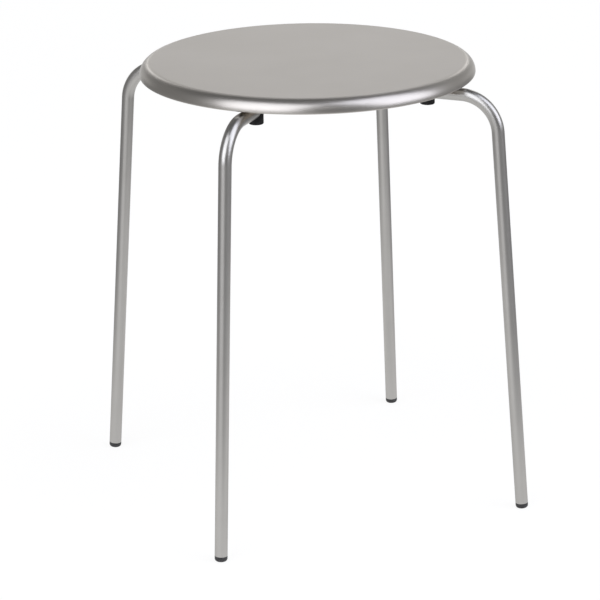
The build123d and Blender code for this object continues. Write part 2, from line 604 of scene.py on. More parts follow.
WHITE_FLOOR = PlainStage(
    "white_floor",
    albedo=(0.9, 0.9, 0.9),
    shadow_share=0.12,
    # The shade level and radius give painted shade under the stool; the near and far levels and the lit
    # sides give painted light on the floor's glow.
    shade_level=0.72,
    shade_radius=0.4,
    near_level=0.95,
    far_level=0.22,
    fade_radius=1.25,
    lit_sides=(
        Side(azimuth_degrees=218.0, half_width_degrees=26.0, level=0.65),
        Side(azimuth_degrees=68.0, half_width_degrees=30.0, level=1.0),
    ),
)
SEAT_STEEL = SatinSteel(
    "satin_seat_steel",
    pale=(0.552, 0.526, 0.493),
    deep=(0.534, 0.508, 0.474),
    edge_tint=(0.9, 0.9, 0.9),
    smooth=0.51,
    rough=0.56,
    grain=(25.0, 2400.0, 2400.0),
    grain_depth=0.0000008,
    clouding=9.0,
)
EDGE_STEEL = SatinSteel(
    "satin_seat_edge_steel",
    pale=(0.552, 0.526, 0.493),
    deep=(0.534, 0.508, 0.474),
    edge_tint=(0.8, 0.8, 0.8),
    smooth=0.31,
    rough=0.36,
    grain=(120.0, 120.0, 2400.0),
    grain_depth=0.0000005,
    clouding=9.0,
    stretch=0.4,
    polish=Polish.AROUND_SEAT,
    level_rough=0.535,
)
TUBE_STEEL = SatinSteel(
    "satin_tube_steel",
    pale=(0.532, 0.521, 0.503),
    deep=(0.512, 0.501, 0.482),
    edge_tint=(0.75, 0.75, 0.75),
    smooth=0.28,
    rough=0.34,
    grain=(60.0, 60.0, 2600.0),
    grain_depth=0.0000005,
    clouding=22.0,
    polish=Polish.AROUND_TUBE,
)
SCREW_STEEL = SatinSteel(
    "turned_screw_steel",
    pale=(0.55, 0.54, 0.52),
    deep=(0.47, 0.46, 0.45),
    edge_tint=(0.8, 0.8, 0.8),
    smooth=0.22,
    rough=0.34,
    grain=(1500.0, 1500.0, 6000.0),
    grain_depth=0.000004,
    clouding=400.0,
)
INSERT_ZINC = SatinSteel(
    "bright_insert_zinc",
    pale=(0.56, 0.53, 0.44),
    deep=(0.44, 0.41, 0.35),
    edge_tint=(0.85, 0.85, 0.85),
    smooth=0.28,
    rough=0.45,
    grain=(900.0, 900.0, 3000.0),
    grain_depth=0.000006,
    clouding=600.0,
)
BLACK_PLASTIC = MouldedBlack(
    "black_moulded_plastic",
    dark=(0.020, 0.020, 0.021),
    worn=(0.042, 0.042, 0.043),
    smooth=0.42,
    rough=0.58,
    texture=2600.0,
    texture_depth=0.00003,
    gloss=0.5,
)
BLACK_RUBBER = MouldedBlack(
    "black_bumper_rubber",
    dark=(0.010, 0.010, 0.011),
    worn=(0.024, 0.024, 0.025),
    smooth=0.55,
    rough=0.72,
    texture=1900.0,
    texture_depth=0.00004,
    gloss=0.2,
)
CORE_PLY = BirchPly(
    "birch_ply_core",
    pale=(0.40, 0.335, 0.26),
    deep=(0.29, 0.235, 0.175),
    end_grain=(0.19, 0.145, 0.10),
    glue=(0.05, 0.036, 0.026),
    lowest=434.0 * MM,
    layer=15.0 * MM / 11.0,
)


class ShapeTree(ABC):
    """A Geometry Nodes tree that reshapes a piece's mesh, with a named input for each size."""

    label: str = "shape"
    sizes: Dict[str, str] = {}

    def __init__(self) -> None:
        """Builds the tree from its inputs to its dressed result."""
        self.tree = bpy.data.node_groups.new(self.label, "GeometryNodeTree")
        sockets = self.tree.interface
        sockets.new_socket("Geometry", in_out="INPUT", socket_type="NodeSocketGeometry")
        for name, kind in {**self.sizes, "Material": "Material"}.items():
            sockets.new_socket(name, in_out="INPUT", socket_type="NodeSocket" + kind)
        sockets.new_socket("Geometry", in_out="OUTPUT", socket_type="NodeSocketGeometry")
        self.graph = NodeGraph(self.tree)
        self.given = self.graph.add("NodeGroupInput").outputs
        whole = self.graph.add("GeometryNodeRealizeInstances", {"Geometry": self.shape()}).outputs[0]
        dress: Inputs = {"Geometry": whole, "Material": self.given["Material"]}
        dressed = self.graph.add("GeometryNodeSetMaterial", dress).outputs[0]
        self.graph.add("NodeGroupOutput", {0: dressed})

    @abstractmethod
    def shape(self) -> bpy.types.NodeSocket:
        """Lays out the nodes that make the shape.

        Returns:
            The socket that gives the shaped mesh.
        """

    def attribute(self, name: str, kind: str = "FLOAT") -> bpy.types.NodeSocket:
        """Reads a named value of the mesh.

        Args:
            name: The value's name.
            kind: Blender's name for its type.

        Returns:
            The socket that gives the value.
        """
        return self.graph.add("GeometryNodeInputNamedAttribute", {"Name": name}, data_type=kind).outputs[0]

    def apply(self, piece: bpy.types.Object, values: Dict[str, Wire]) -> bpy.types.Object:
        """Runs the tree on a piece and keeps the result as its plain mesh.

        Args:
            piece: The piece to reshape.
            values: The tree's inputs by name.

        Returns:
            The same piece.
        """
        modifier = piece.modifiers.new(self.label, "NODES")
        modifier.node_group = self.tree
        for item in self.tree.interface.items_tree:
            if item.item_type == "SOCKET" and item.in_out == "INPUT" and item.name in values:
                modifier[item.identifier] = values[item.name]
        return keep_shape(piece)


class TurnedShape(ShapeTree):
    """Rounds the corners of an outline drawn as (radius, 0, height) and turns it about Z."""

    label = "turned_shape"
    sizes = {"Segments": "Int", "Arc Steps": "Int", "Weld": "Float"}

    def shape(self) -> bpy.types.NodeSocket:
        """Lays out the rounding, the turned grid and the weld at its seam and poles.

        Returns:
            The socket that gives the turned mesh.
        """
        graph = self.graph
        drawn = graph.add("GeometryNodeMeshToCurve", {0: self.given["Geometry"]}).outputs[0]
        rounded = graph.add("GeometryNodeFilletCurve", {
            "Curve": drawn,
            "Count": self.given["Arc Steps"],
            "Radius": self.attribute(ROUNDING),
            "Limit Radius": True,
        }, mode="POLY").outputs[0]
        outline = graph.add("GeometryNodeCurveToMesh", {"Curve": rounded}).outputs[0]
        count = graph.add("GeometryNodeAttributeDomainSize", {0: outline}, component="MESH").outputs[0]
        columns = graph.math("ADD", self.given["Segments"], 1.0)
        grid = graph.add("GeometryNodeMeshGrid", {0: 1.0, 1: 1.0, 2: count, 3: columns}).outputs[0]
        place = graph.add("GeometryNodeInputPosition").outputs[0]
        cell = graph.parts(graph.across("ADD", place, (0.5, 0.5, 0.0)))
        row = graph.math("ROUND", graph.math("MULTIPLY", cell[0], graph.math("SUBTRACT", count, 1.0)))
        wanted: Inputs = {0: outline, 1: place, 2: row}
        sample = graph.add("GeometryNodeSampleIndex", wanted, data_type="FLOAT_VECTOR").outputs[0]
        spot = graph.parts(sample)
        angle = graph.math("MULTIPLY", cell[1], math.tau)
        turned = graph.point(
            graph.math("MULTIPLY", spot[0], graph.math("COSINE", angle)),
            graph.math("MULTIPLY", spot[0], graph.math("SINE", angle)),
            spot[2],
        )
        skin = graph.add("GeometryNodeSetPosition", {"Geometry": grid, "Position": turned}).outputs[0]
        weld = {"Geometry": skin, "Distance": self.given["Weld"]}
        return graph.add("GeometryNodeMergeByDistance", weld).outputs[0]


class BentTube(ShapeTree):
    """Bends a straight tube that stands on Z along a leg's route: level run, one bend, leaning run."""

    label = "bent_tube"
    sizes = {
        "Start": "Vector",
        "Bend Corner": "Vector",
        "End": "Vector",
        "Bend Radius": "Float",
        "Bend Steps": "Int",
        "Straight Length": "Float",
    }

    def shape(self) -> bpy.types.NodeSocket:
        """Lays out the route and carries every ring of the tube to its place on it.

        Returns:
            The socket that gives the bent mesh.
        """
        graph = self.graph
        names = ("Start", "Bend Corner", "End")
        line = graph.add("GeometryNodeMeshLine", {"Count": len(names)}).outputs[0]
        order = graph.add("GeometryNodeInputIndex").outputs[0]
        stop = graph.add("GeometryNodeIndexSwitch", data_type="VECTOR")
        stop.index_switch_items.new()
        graph.tree.links.new(order, stop.inputs[0])
        for number, name in enumerate(names):
            graph.tree.links.new(self.given[name], stop.inputs[number + 1])
        stops: Inputs = {"Geometry": line, "Position": stop.outputs[0]}
        placed = graph.add("GeometryNodeSetPosition", stops).outputs[0]
        corners = graph.add("GeometryNodeMeshToCurve", {0: placed}).outputs[0]
        route = graph.add("GeometryNodeFilletCurve", {
            "Curve": corners,
            "Count": self.given["Bend Steps"],
            "Radius": self.given["Bend Radius"],
        }, mode="POLY").outputs[0]
        place = graph.add("GeometryNodeInputPosition").outputs[0]
        kept = graph.add("GeometryNodeStoreNamedAttribute", {
            "Geometry": self.given["Geometry"],
            "Name": STRAIGHT_PLACE,
            "Value": place,
        }, data_type="FLOAT_VECTOR", domain="POINT").outputs[0]
        straight = graph.parts(place)
        share = graph.math("DIVIDE", straight[2], self.given["Straight Length"])
        along: Inputs = {"Curves": route, "Factor": share}
        sample = graph.add("GeometryNodeSampleCurve", along, mode="FACTOR").outputs
        sideways = (0.0, -1.0, 0.0)
        outwards = graph.across("CROSS_PRODUCT", sideways, sample["Tangent"])
        ring = graph.across("ADD", graph.scaled(outwards, straight[0]), graph.scaled(sideways, straight[1]))
        bent = graph.across("ADD", sample["Position"], ring)
        return graph.add("GeometryNodeSetPosition", {"Geometry": kept, "Position": bent}).outputs[0]


class StationedShape(ShapeTree):
    """Repeats a piece at even steps outwards along a leg's level run."""

    label = "stationed_shape"
    sizes = {"First Place": "Float", "Step": "Float", "Count": "Int", "Most Turn": "Float", "Seed": "Int"}

    def shape(self) -> bpy.types.NodeSocket:
        """Lays out the stations and the copies, each turned by its own random angle.

        Returns:
            The socket that gives the copies.
        """
        graph = self.graph
        line = graph.add("GeometryNodeMeshLine", {
            "Count": self.given["Count"],
            "Start Location": graph.point(self.given["First Place"], 0.0, 0.0),
            "Offset": graph.point(self.given["Step"], 0.0, 0.0),
        }).outputs[0]
        spin = graph.add("FunctionNodeRandomValue", {
            "Max": graph.point(0.0, 0.0, self.given["Most Turn"]),
            "Seed": self.given["Seed"],
        }, data_type="FLOAT_VECTOR").outputs[0]
        turn = graph.add("FunctionNodeEulerToRotation", {0: spin}).outputs[0]
        return graph.add("GeometryNodeInstanceOnPoints", {
            "Points": line,
            "Instance": self.given["Geometry"],
            "Rotation": turn,
        }).outputs[0]


def new_piece(name: str, mesh: bpy.types.Mesh) -> bpy.types.Object:
    """Puts a mesh into the scene as a new object at the origin.

    Args:
        name: The object's name.
        mesh: Its mesh.

    Returns:
        The object.
    """
    piece = bpy.data.objects.new(name, mesh)
    bpy.context.scene.collection.objects.link(piece)
    return piece


def keep_shape(piece: bpy.types.Object) -> bpy.types.Object:
    """Turns what a piece's modifiers make into its own plain mesh.

    Args:
        piece: The piece with its modifiers.

    Returns:
        The same piece, without modifiers.
    """
    bpy.context.view_layer.update()
    evaluated = piece.evaluated_get(bpy.context.evaluated_depsgraph_get())
    mesh = bpy.data.meshes.new_from_object(evaluated)
    piece.modifiers.clear()
    piece.data = mesh
    return piece


def combine(piece: bpy.types.Object, other: bpy.types.Object, way: Combine) -> bpy.types.Object:
    """Cuts another solid out of a piece or fuses it on, and removes the other solid.

    Args:
        piece: The piece that is kept.
        other: The solid that is worked into it.
        way: Whether it cuts or fuses.

    Returns:
        The kept piece.
    """
    modifier = piece.modifiers.new("combine", "BOOLEAN")
    modifier.operation = way.value
    modifier.solver = "EXACT"
    modifier.object = other
    keep_shape(piece)
    bpy.data.objects.remove(other)
    return piece


class Workshop:
    """Makes turned, bent and repeated pieces with the Geometry Nodes trees."""

    def __init__(self) -> None:
        """Builds the trees once for all pieces."""
        self.turned = TurnedShape()
        self.bent = BentTube()
        self.stationed = StationedShape()

    def turn(self, outline: Sequence[OutlinePoint], finish: Finish, segments: int = 96,
             arc_steps: int = 7) -> bpy.types.Object:
        """Turns an outline about Z.

        Args:
            outline: The corners in order, from axis to axis or back to the first one.
            finish: The piece's finish.
            segments: How many flat sides stand for the round.
            arc_steps: How many points each rounded corner gets.

        Returns:
            The turned piece.
        """
        mesh = bpy.data.meshes.new("outline")
        corners = [(point.radius, 0.0, point.height) for point in outline]
        mesh.from_pydata(corners, [(n, n + 1) for n in range(len(corners) - 1)], [])
        rounding = mesh.attributes.new(ROUNDING, "FLOAT", "POINT")
        rounding.data.foreach_set("value", [point.rounding for point in outline])
        values: Dict[str, Wire] = {"Segments": segments, "Arc Steps": arc_steps, "Weld": SEAM_WELD}
        return self.turned.apply(new_piece("turned", mesh), {**values, "Material": finish.material()})

    def rod(self, radius: float, low: float, high: float, finish: Finish,
            segments: int) -> bpy.types.Object:
        """Turns a plain rod along Z, to cut or fuse with.

        Args:
            radius: The rod's radius.
            low: The height of its lower end.
            high: The height of its upper end.
            finish: The finish of the piece it is worked into.
            segments: How many flat sides it has.

        Returns:
            The rod.
        """
        lower_end = [OutlinePoint(0.0, low), OutlinePoint(radius, low)]
        upper_end = [OutlinePoint(radius, high), OutlinePoint(0.0, high)]
        return self.turn(lower_end + upper_end, finish, segments)


def polish(piece: bpy.types.Object, finish: Finish) -> None:
    """Welds a piece's mesh, turns its faces outwards, smooths its rounds and gives it one finish.

    Args:
        piece: The piece.
        finish: Its finish.
    """
    work = bmesh.new()
    work.from_mesh(piece.data)
    bmesh.ops.remove_doubles(work, verts=work.verts, dist=MESH_WELD)
    bmesh.ops.dissolve_degenerate(work, edges=work.edges, dist=SHORTEST_EDGE)
    bmesh.ops.recalc_face_normals(work, faces=work.faces)
    for face in work.faces:
        face.smooth = True
        face.material_index = 0
    for edge in work.edges:
        edge.smooth = edge.calc_face_angle(0.0) < math.radians(CRISP_FROM_DEGREES)
    work.to_mesh(piece.data)
    work.free()
    piece.data.materials.clear()
    piece.data.materials.append(finish.material())


@dataclass(frozen=True)
class TubeRoute:
    """A leg's tube, the route it takes in the upright plane through +X, and where its fittings sit."""

    radius: float = 6.35 * MM
    wall: float = 1.5 * MM
    start_reach: float = 30.0 * MM
    axis_height: float = 427.65 * MM
    bend_radius: float = 38.0 * MM
    foot_reach: float = 232.0 * MM
    foot_length: float = 5.0 * MM
    lean: float = math.radians(4.4)
    screw_reach: float = 45.0 * MM
    screw_step: float = 35.0 * MM
    screw_count: int = 2
    bumper_reach: float = 128.0 * MM

    @property
    def bore(self) -> float:
        """The radius of the tube's bore."""
        return self.radius - self.wall

    @property
    def underside(self) -> float:
        """The height of the level run's underside."""
        return self.axis_height - self.radius

    @property
    def up(self) -> Vector:
        """The direction up the leaning run."""
        return Vector((-math.sin(self.lean), 0.0, math.cos(self.lean)))

    @property
    def start(self) -> Vector:
        """The middle of the tube's inner end."""
        return Vector((self.start_reach, 0.0, self.axis_height))

    @property
    def end(self) -> Vector:
        """The middle of the tube's lower end."""
        return Vector((self.foot_reach, 0.0, 0.0)) + self.up * self.foot_length

    @property
    def corner(self) -> Vector:
        """Where the two runs' axes would meet."""
        return Vector((self.foot_reach - self.axis_height * math.tan(self.lean), 0.0, self.axis_height))

    @property
    def bend_angle(self) -> float:
        """How far the bend turns."""
        return math.pi / 2 - self.lean

    @property
    def bend_start(self) -> float:
        """How far along the tube the bend begins."""
        return (self.corner - self.start).length - self.bend_radius * math.tan(self.bend_angle / 2)

    @property
    def bend_end(self) -> float:
        """How far along the tube the bend ends."""
        return self.bend_start + self.bend_radius * self.bend_angle

    @property
    def length(self) -> float:
        """The tube's whole length along its axis."""
        setback = self.bend_radius * math.tan(self.bend_angle / 2)
        return self.bend_end + (self.corner - self.end).length - setback

    @property
    def to_foot(self) -> Matrix:
        """The place of the tube's lower end, with Z up the tube."""
        side = Vector((0.0, 1.0, 0.0))
        turn = Matrix((side, self.up.cross(side), self.up)).transposed().to_4x4()
        return Matrix.Translation(self.end) @ turn

    @property
    def to_start(self) -> Matrix:
        """The place of the tube's inner end, with Z into the tube."""
        return Matrix.Translation(self.start) @ Matrix.Rotation(math.pi / 2, 4, "Y")


@dataclass
class SeatPan:
    """Pressed steel seat: flat disc, quarter-round edge and a narrow lip turned in below it.

    The flat ends a small margin before the edge's bend, so that the bend's shading doesn't spread over it.
    """

    workshop: Workshop
    finish: Finish = SEAT_STEEL
    edge_finish: Finish = EDGE_STEEL
    radius: float = 168.0 * MM
    height: float = 450.0 * MM
    sheet: float = 1.0 * MM
    edge_radius: float = 12.0 * MM
    lip_inner_bend: float = 0.4 * MM
    lip_width: float = 12.0 * MM
    cut_edge_rounding: float = 0.2 * MM
    flat_margin: float = 0.6 * MM
    segments: int = 256
    arc_steps: int = 20

    def build(self) -> bpy.types.Object:
        """Turns the sheet's outline, outer face first and then back along the inner face.

        Returns:
            The pan.
        """
        lip_outer_bend = self.lip_inner_bend + self.sheet
        low = self.height - self.edge_radius - lip_outer_bend
        flat = self.radius - self.edge_radius
        inner = self.radius - self.sheet
        lip_edge = self.radius - self.lip_width
        outline = [
            OutlinePoint(0.0, self.height),
            OutlinePoint(flat - self.flat_margin, self.height),
            OutlinePoint(self.radius, self.height, self.edge_radius),
            OutlinePoint(self.radius, low, lip_outer_bend),
            OutlinePoint(lip_edge, low, self.cut_edge_rounding),
            OutlinePoint(lip_edge, low + self.sheet, self.cut_edge_rounding),
            OutlinePoint(inner, low + self.sheet, self.lip_inner_bend),
            OutlinePoint(inner, self.height - self.sheet, self.edge_radius - self.sheet),
            OutlinePoint(flat - self.flat_margin, self.height - self.sheet),
            OutlinePoint(0.0, self.height - self.sheet),
        ]
        return self.workshop.turn(outline, self.finish, self.segments, self.arc_steps)

    def dress(self, piece: bpy.types.Object) -> bpy.types.Object:
        """Finishes the pan and stands it in for its CAD node.

        Args:
            piece: The pan.

        Returns:
            The same pan.
        """
        piece.name = "steel_seat_pan"
        polish(piece, self.finish)
        piece.data.materials.append(self.edge_finish.material())
        for face in piece.data.polygons:
            if face.center.xy.length > self.radius - self.edge_radius:
                face.material_index = 1
        return stand_in(piece, "seat_pan")


def stand_in(piece: bpy.types.Object, node: str) -> bpy.types.Object:
    """Fixes a finished piece to the stool in the place of a CAD node.

    Args:
        piece: The finished piece.
        node: The CAD node it stands for.

    Returns:
        The same piece.
    """
    piece.data.name = piece.name
    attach(piece, BODY)
    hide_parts(node)
    LOG.info("%s: %d faces, stands for %s", piece.name, len(piece.data.polygons), node)
    return piece


@dataclass
class CornerPiece(ABC):
    """A piece that every corner of the stool has, built along +X and then turned to each corner."""

    workshop: Workshop
    route: TubeRoute

    label: str = "piece"
    node: str = "node"
    slot: Slot = Slot.PLASTIC
    finish: Finish = BLACK_PLASTIC

    @abstractmethod
    def build(self) -> bpy.types.Object:
        """Makes the piece along +X.

        Returns:
            The piece.
        """

    def dress(self, pattern: bpy.types.Object) -> List[bpy.types.Object]:
        """Finishes the piece and puts a copy at every corner.

        Args:
            pattern: The piece along +X.

        Returns:
            The four finished pieces.
        """
        polish(pattern, self.finish)
        pieces = []
        for corner in Corner:
            mesh = pattern.data.copy()
            mesh.transform(corner.turn)
            piece = new_piece(f"{self.label}_{corner.label}", mesh)
            pieces.append(stand_in(piece, f"{self.node}_{corner.label}"))
        bpy.data.objects.remove(pattern)
        return pieces


@dataclass
class Leg(CornerPiece):
    """Bent steel tube with rounded ends and holes for the two screws and the bumper's stem."""

    label: str = "steel_leg"
    node: str = "leg"
    slot: Slot = Slot.TUBE_STEEL
    finish: Finish = TUBE_STEEL
    end_rounding: float = 0.4 * MM
    run_step: float = 18.0 * MM
    bend_step: float = 1.6 * MM
    bend_points: int = 90
    segments: int = 72
    end_arc_steps: int = 3
    screw_hole: float = 3.3 * MM
    stem_hole: float = 2.6 * MM
    drill_segments: int = 48

    def rings(self) -> List[float]:
        """Places the tube's rings: wide apart on the straight runs and close together in the bend.

        Returns:
            How far along the tube each ring is.
        """
        route = self.route
        margin = self.end_rounding * 2
        stops = [margin, route.bend_start, route.bend_end, route.length - margin]
        steps = [self.run_step, self.bend_step, self.run_step]
        rings = [stops[0]]
        for begin, finish, step in zip(stops, stops[1:], steps):
            count = math.ceil((finish - begin) / step)
            rings += [begin + (finish - begin) * n / count for n in range(1, count + 1)]
        return rings

    def build(self) -> bpy.types.Object:
        """Turns the straight tube, drills it and bends it to its route.

        Returns:
            The leg along +X.
        """
        route = self.route
        rings = self.rings()
        outer = [OutlinePoint(route.radius, place) for place in rings]
        inner = [OutlinePoint(route.bore, place) for place in reversed(rings)]
        outline = [OutlinePoint(route.bore, 0.0), OutlinePoint(route.radius, 0.0, self.end_rounding)]
        outline += outer + [OutlinePoint(route.radius, route.length, self.end_rounding)]
        outline += [OutlinePoint(route.bore, route.length)] + inner + [OutlinePoint(route.bore, 0.0)]
        tube = self.workshop.turn(outline, self.finish, self.segments, self.end_arc_steps)
        for number in range(route.screw_count):
            reach = route.screw_reach + number * route.screw_step
            self.drill(tube, self.screw_hole, reach, route.radius * 2)
        self.drill(tube, self.stem_hole, route.bumper_reach, 0.0)
        return self.workshop.bent.apply(tube, {
            "Start": route.start,
            "Bend Corner": route.corner,
            "End": route.end,
            "Bend Radius": route.bend_radius,
            "Bend Steps": self.bend_points,
            "Straight Length": route.length,
            "Material": self.finish.material(),
        })

    def drill(self, tube: bpy.types.Object, radius: float, reach: float, depth: float) -> None:
        """Drills the straight tube from its lower side.

        Args:
            tube: The tube, standing on Z, with its lower side towards -X.
            radius: The hole's radius.
            reach: The hole's distance from the middle of the stool.
            depth: How far past the tube's axis the drill goes.
        """
        bit = self.workshop.rod(radius, -self.route.radius * 2, depth, self.finish, self.drill_segments)
        lie_down = Matrix.Rotation(math.pi / 2, 4, "Y")
        bit.data.transform(Matrix.Translation((0.0, 0.0, reach - self.route.start_reach)) @ lie_down)
        combine(tube, bit, Combine.CUT)


@dataclass
class TubePlug(CornerPiece):
    """Moulded plug with a ribbed stem in the tube and a round-edged head as wide as the tube."""

    rib_gap: float = 0.1 * MM
    rib_height: float = 0.7 * MM
    rib_length: float = 2.0 * MM
    rib_pitch: float = 5.0 * MM
    seat_rounding: float = 0.25 * MM
    ribs: int = 1
    head_height: float = 2.0 * MM
    head_rounding: float = 1.0 * MM

    def outline(self) -> List[OutlinePoint]:
        """Draws the plug from its tip to the middle of its head, with the tube's end at height 0.

        Returns:
            The outline's corners.
        """
        route = self.route
        rib_radius = route.bore - self.rib_gap
        stem_radius = rib_radius - self.rib_height
        tip = self.ribs * self.rib_pitch + self.rib_length
        outline = [OutlinePoint(0.0, tip), OutlinePoint(stem_radius, tip, self.seat_rounding)]
        for rib in range(self.ribs, 0, -1):
            top = rib * self.rib_pitch
            foot = top - self.rib_length
            outline += [OutlinePoint(stem_radius, top), OutlinePoint(rib_radius, top - self.rib_height)]
            outline += [OutlinePoint(rib_radius, foot), OutlinePoint(stem_radius, foot)]
        outline += [OutlinePoint(stem_radius, 0.0), OutlinePoint(route.radius, 0.0, self.seat_rounding)]
        outline += [OutlinePoint(route.radius, -self.head_height, self.head_rounding)]
        return outline + [OutlinePoint(0.0, -self.head_height)]


@dataclass
class FootPlug(TubePlug):
    """Foot of the leg: a plug whose head is trimmed level with the floor."""

    label: str = "plastic_foot"
    node: str = "foot_plug"
    ribs: int = 4
    head_height: float = 5.4 * MM
    head_rounding: float = 3.0 * MM

    def build(self) -> bpy.types.Object:
        """Turns the plug, sets it in the leg's lower end and trims it at the floor.

        Returns:
            The foot along +X.
        """
        plug = self.workshop.turn(self.outline(), self.finish)
        plug.data.transform(self.route.to_foot)
        work = bmesh.new()
        work.from_mesh(plug.data)
        whole = [*work.verts, *work.edges, *work.faces]
        bmesh.ops.bisect_plane(work, geom=whole, plane_co=(0, 0, 0), plane_no=(0, 0, 1), clear_inner=True)
        rim = [edge for edge in work.edges if edge.is_boundary]
        bmesh.ops.contextual_create(work, geom=rim)
        work.to_mesh(plug.data)
        work.free()
        return plug


@dataclass
class TubeEndPlug(TubePlug):
    """Thin cap in the tube's inner end, under the middle of the seat."""

    label: str = "plastic_tube_end"
    node: str = "tube_end_plug"

    def build(self) -> bpy.types.Object:
        """Turns the plug and sets it in the tube's inner end.

        Returns:
            The cap along +X.
        """
        plug = self.workshop.turn(self.outline(), self.finish)
        plug.data.transform(self.route.to_start)
        return plug


@dataclass
class StackingBumper(CornerPiece):
    """Rubber cylinder that cups the tube from below, with a barbed stem through the tube's lower wall."""

    label: str = "rubber_bumper"
    node: str = "stacking_bumper"
    slot: Slot = Slot.RUBBER
    finish: Finish = BLACK_RUBBER
    radius: float = 7.3 * MM
    drop: float = 6.0 * MM
    rounding: float = 1.2 * MM
    lip_below_axis: float = 1.0 * MM
    lip_rounding: float = 0.25 * MM
    cup_gap: float = 0.1 * MM
    stem_radius: float = 2.4 * MM
    stem_gap: float = 0.2 * MM
    stem_segments: int = 64
    barb_radius: float = 3.2 * MM
    barb_tip_radius: float = 1.5 * MM
    barb_height: float = 3.0 * MM

    def build(self) -> bpy.types.Object:
        """Turns the body, cuts the cup for the tube and fuses the barbed stem on.

        Returns:
            The bumper along +X.
        """
        route = self.route
        low = route.underside - self.drop
        high = route.axis_height - self.lip_below_axis
        body = self.workshop.turn([
            OutlinePoint(0.0, low),
            OutlinePoint(self.radius, low, self.rounding),
            OutlinePoint(self.radius, high, self.lip_rounding),
            OutlinePoint(0.0, high),
        ], self.finish)
        combine(body, cup_cutter(self.workshop, route, self.cup_gap, self.finish), Combine.CUT)
        barb_sink = math.sqrt(route.bore ** 2 - self.barb_radius ** 2)
        barb_low = route.axis_height - barb_sink + self.stem_gap
        stem = self.workshop.turn([
            OutlinePoint(0.0, low + self.drop / 2),
            OutlinePoint(self.stem_radius, low + self.drop / 2),
            OutlinePoint(self.stem_radius, barb_low),
            OutlinePoint(self.barb_radius, barb_low),
            OutlinePoint(self.barb_tip_radius, barb_low + self.barb_height),
            OutlinePoint(0.0, barb_low + self.barb_height),
        ], self.finish, self.stem_segments)
        combine(body, stem, Combine.FUSE)
        body.data.transform(Matrix.Translation((route.bumper_reach, 0.0, 0.0)))
        return body


def cup_cutter(workshop: Workshop, route: TubeRoute, gap: float, finish: Finish) -> bpy.types.Object:
    """Makes a level rod a little wider than the tube, to cut a cup for it.

    Args:
        workshop: Makes the rod.
        route: The tube.
        gap: The clearance round the tube.
        finish: The finish of the piece that is cut.

    Returns:
        The rod, on the tube's axis and centred on X.
    """
    reach = route.radius * 4
    rod = workshop.rod(route.radius + gap, -reach, reach, finish, CUP_SEGMENTS)
    lie_down = Matrix.Rotation(math.pi / 2, 4, "Y")
    rod.data.transform(Matrix.Translation((0.0, 0.0, route.axis_height)) @ lie_down)
    return rod


@dataclass
class ScrewPair(CornerPiece):
    """What clamps a leg to the core: a pair of equal pieces on the tube's level run."""

    most_turn: float = 0.0
    seed: int = 7
    washer_web: float = 1.2 * MM

    @property
    def head_seat(self) -> float:
        """The height at which the screw heads press on their washers."""
        return self.route.underside - self.washer_web

    def repeat(self, piece: bpy.types.Object) -> bpy.types.Object:
        """Repeats a piece at the screw places.

        Args:
            piece: The piece on Z.

        Returns:
            The pair, as one piece along +X.
        """
        return self.workshop.stationed.apply(piece, {
            "First Place": self.route.screw_reach,
            "Step": self.route.screw_step,
            "Count": self.route.screw_count,
            "Most Turn": self.most_turn,
            "Seed": self.seed,
            "Material": self.finish.material(),
        })


@dataclass
class LegScrews(ScrewPair):
    """Button-head screws, heads down, up through the tube into the core."""

    label: str = "steel_screws"
    node: str = "leg_screws"
    slot: Slot = Slot.SCREW
    finish: Finish = SCREW_STEEL
    most_turn: float = math.pi / 3
    shank_radius: float = 3.0 * MM
    tip_height: float = 445.1 * MM
    tip_chamfer: float = 0.6 * MM
    head_radius: float = 5.25 * MM
    head_height: float = 3.3 * MM
    head_rounding: float = 2.2 * MM
    head_edge_rounding: float = 0.15 * MM
    socket_sides: int = 6
    socket_width: float = 4.0 * MM
    socket_depth: float = 2.0 * MM

    def build(self) -> bpy.types.Object:
        """Turns a screw, cuts its socket and repeats it.

        Returns:
            The screws along +X.
        """
        low = self.head_seat - self.head_height
        rest = self.tip_height - self.tip_chamfer
        screw = self.workshop.turn([
            OutlinePoint(0.0, low),
            OutlinePoint(self.head_radius, low, self.head_rounding),
            OutlinePoint(self.head_radius, self.head_seat, self.head_edge_rounding),
            OutlinePoint(self.shank_radius, self.head_seat),
            OutlinePoint(self.shank_radius, rest),
            OutlinePoint(self.shank_radius - self.tip_chamfer, self.tip_height),
            OutlinePoint(0.0, self.tip_height),
        ], self.finish)
        depth = self.socket_depth
        corner_radius = self.socket_width / 2 / math.cos(math.pi / self.socket_sides)
        key = self.workshop.rod(corner_radius, low - depth, low + depth, self.finish, self.socket_sides)
        combine(screw, key, Combine.CUT)
        return self.repeat(screw)


@dataclass
class SaddleWashers(ScrewPair):
    """Black washers with a flat seat for the screw head and a hollow top that cups the tube."""

    label: str = "plastic_saddles"
    node: str = "saddle_washers"
    radius: float = 6.0 * MM
    hole_radius: float = 3.3 * MM
    wrap: float = 1.8 * MM
    rounding: float = 0.35 * MM
    cup_gap: float = 0.1 * MM

    def build(self) -> bpy.types.Object:
        """Turns a washer, cuts the cup for the tube and repeats it.

        Returns:
            The washers along +X.
        """
        high = self.route.underside + self.wrap
        washer = self.workshop.turn([
            OutlinePoint(self.hole_radius, self.head_seat),
            OutlinePoint(self.radius, self.head_seat, self.rounding),
            OutlinePoint(self.radius, high, self.rounding / 2),
            OutlinePoint(self.hole_radius, high),
            OutlinePoint(self.hole_radius, self.head_seat),
        ], self.finish)
        combine(washer, cup_cutter(self.workshop, self.route, self.cup_gap, self.finish), Combine.CUT)
        return self.repeat(washer)


